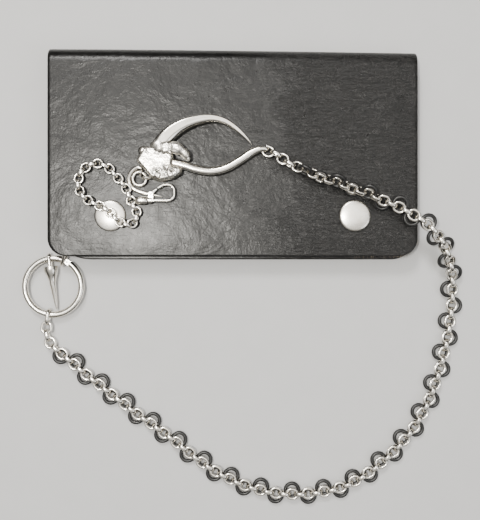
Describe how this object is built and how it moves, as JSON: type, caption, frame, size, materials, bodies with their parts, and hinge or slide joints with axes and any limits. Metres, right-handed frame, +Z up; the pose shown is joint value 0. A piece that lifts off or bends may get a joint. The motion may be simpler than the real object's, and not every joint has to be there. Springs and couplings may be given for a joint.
{
  "type": "chain wallet",
  "caption": "Long folding leather wallet with snap closures, a silver link chain threaded with rubber rings, a spring-gate ring, a claw belt hook and a small key strap.",
  "frame": {"origin": "centre of the back panel's underside, on the surface the closed wallet lies on", "axes": "+X along the wallet, towards the end the chain climbs over; +Y across it, towards the fold; +Z up, out of the front cover"},
  "size_m": [0.2383, 0.2447, 0.0275],
  "materials": {
    "outer_leather": "glossy black, lightly scratched",
    "inner_leather": "satin black",
    "lining": "matte black lining",
    "zipper_tape": "woven tape",
    "zipper_metal": "antique brass",
    "silver": "polished silver with darkened recesses",
    "spring_steel": "plain steel",
    "rubber": "satin black"
  },
  "bodies": {
    "wallet_back": {"back_panel": "outer_leather", "back_lining": "lining", "gusset_left": "outer_leather", "gusset_right": "outer_leather", "bill_divider": "inner_leather", "card_base": "inner_leather", "card_slot_1": "inner_leather", "card_slot_2": "inner_leather", "card_slot_3": "inner_leather", "coin_pouch": "inner_leather", "zipper_tape": "zipper_tape", "zipper_teeth": "zipper_metal", "zipper_stops": "zipper_metal", "inner_flap": "inner_leather", "snap_studs": "spring_steel", "stud_rivets": "spring_steel"},
    "zip_slider": {"zipper_slider": "zipper_metal"},
    "zip_pull": {"zipper_pull": "zipper_metal"},
    "spine": {"spine": "outer_leather"},
    "cover": {"front_cover": "outer_leather", "cover_lining": "lining", "snap_caps": "silver", "snap_sockets": "spring_steel", "chain_tab": "outer_leather", "tab_grommet": "silver", "tab_rivet": "silver", "anchor_link": "silver"},
    "ring": {"ring_body": "silver", "gate_pin": "spring_steel", "gate_spring": "spring_steel"},
    "ring_gate": {"ring_gate": "silver"},
    "charm": {"charm_bail": "silver", "charm_bell": "silver", "charm_claw": "silver"},
    "ring_link": {"ring_link": "silver"},
    "chain_1": {"chain_links_1": "silver", "rubber_rings_1": "rubber"},
    "chain_2": {"chain_links_2": "silver", "rubber_rings_2": "rubber"},
    "chain_3": {"chain_links_3": "silver", "rubber_rings_3": "rubber"},
    "chain_4": {"chain_links_4": "silver", "rubber_rings_4": "rubber"},
    "chain_5": {"chain_links_5": "silver", "rubber_rings_5": "rubber"},
    "hook": {"hook_claw": "silver", "hook_arm": "silver", "hook_knuckle": "silver", "hook_finger": "silver", "hook_nugget": "silver"},
    "strap_ring": {"strap_ring": "silver"},
    "strap_claw": {"strap_claw": "silver", "clip_barrel": "silver"},
    "clip_hook": {"clip_hook": "silver", "clip_pin": "spring_steel"},
    "clip_gate": {"clip_gate": "silver"},
    "key_chain": {"key_chain": "silver"}
  },
  "joints": [
    {"name": "zip_slide", "type": "slide", "parent": "wallet_back", "child": "zip_slider", "axis": [1, 0, 0], "range_m": [0, 0.058]},
    {"name": "pull_swing", "type": "hinge", "parent": "zip_slider", "child": "zip_pull", "pos_m": [0.012, 0.012, 0.011], "axis": [0, 0, 1], "range_deg": [-70, 70]},
    {"name": "spine_fold", "type": "hinge", "parent": "wallet_back", "child": "spine", "pos_m": [0, 0.0545, 0.001], "axis": [-1, 0, 0], "range_deg": [0, 80]},
    {"name": "cover_fold", "type": "hinge", "parent": "spine", "child": "cover", "pos_m": [0, 0.0545, 0.015], "axis": [-1, 0, 0], "range_deg": [0, 80]},
    {"name": "ring_spin", "type": "hinge", "parent": "cover", "child": "ring", "pos_m": [-0.097, -0.0716, 0.0041], "axis": [0, 0, 1], "range_deg": [-3, 30]},
    {"name": "gate_swing", "type": "hinge", "parent": "ring", "child": "ring_gate", "pos_m": [-0.08937, -0.05839, 0.0041], "axis": [0, 0, -1], "range_deg": [-7, 0], "stiffness_Nm_per_rad": 0.005},
    {"name": "charm_swing", "type": "hinge", "parent": "ring", "child": "charm", "pos_m": [-0.09886, -0.05646, 0.0041], "axis": [-0.9925, -0.1219, 0], "range_deg": [0, 55]},
    {"name": "ring_link_stay", "type": "hinge", "parent": "ring", "child": "ring_link", "pos_m": [-0.097, -0.0716, 0.0041], "axis": [0, 0, 1], "range_deg": [-30, 3]},
    {"name": "chain_lift_1", "type": "hinge", "parent": "ring_link", "child": "chain_1", "pos_m": [-0.1002, -0.0915, 0.0039], "axis": [0, -1, 0], "range_deg": [0, 12]},
    {"name": "chain_lift_2", "type": "hinge", "parent": "chain_1", "child": "chain_2", "pos_m": [-0.03192, -0.15455, 0.0033], "axis": [0.7964, -0.6047, 0], "range_deg": [0, 3]},
    {"name": "chain_lift_3", "type": "hinge", "parent": "chain_2", "child": "chain_3", "pos_m": [0.02122, -0.18276, 0.0033], "axis": [0.9821, -0.1885, 0], "range_deg": [0, 12]},
    {"name": "chain_lift_4", "type": "hinge", "parent": "chain_3", "child": "chain_4", "pos_m": [0.11547, -0.10114, 0.0033], "axis": [0.2076, 0.9782, 0], "range_deg": [0, 12]},
    {"name": "chain_lift_5", "type": "hinge", "parent": "chain_4", "child": "chain_5", "pos_m": [0.09587, -0.03516, 0.0219], "axis": [-0.8263, 0.5632, 0], "range_deg": [0, 3]},
    {"name": "hook_lift", "type": "hinge", "parent": "chain_5", "child": "hook", "pos_m": [0.0159, 0.0006, 0.0193], "axis": [0, 1, 0], "range_deg": [0, 20]},
    {"name": "strap_swing", "type": "hinge", "parent": "hook", "child": "strap_ring", "pos_m": [-0.0451, -0.0146, 0.019], "axis": [-0.8713, 0.4907, 0], "range_deg": [0, 10]},
    {"name": "claw_swing", "type": "hinge", "parent": "strap_ring", "child": "strap_claw", "pos_m": [-0.04769, -0.01152, 0.019], "axis": [-0.9659, 0.259, 0], "range_deg": [0, 12]},
    {"name": "clip_swivel", "type": "hinge", "parent": "strap_claw", "child": "clip_hook", "pos_m": [-0.044, -0.0263, 0.019], "axis": [1, 0, 0], "range_deg": [0, 90]},
    {"name": "clip_gate_swing", "type": "hinge", "parent": "clip_hook", "child": "clip_gate", "pos_m": [-0.0426, -0.0229, 0.019], "axis": [0, 0, 1], "range_deg": [-25, 0], "stiffness_Nm_per_rad": 0.002},
    {"name": "key_chain_lift", "type": "hinge", "parent": "strap_claw", "child": "key_chain", "pos_m": [-0.051, -0.0278, 0.019], "axis": [-0.28, 0.96, 0], "range_deg": [0, 12]}
  ],
  "couplings": [
    {"joint": "spine_fold", "follows": "cover_fold", "ratio": 1},
    {"joint": "ring_link_stay", "follows": "ring_spin", "ratio": -1}
  ]
}
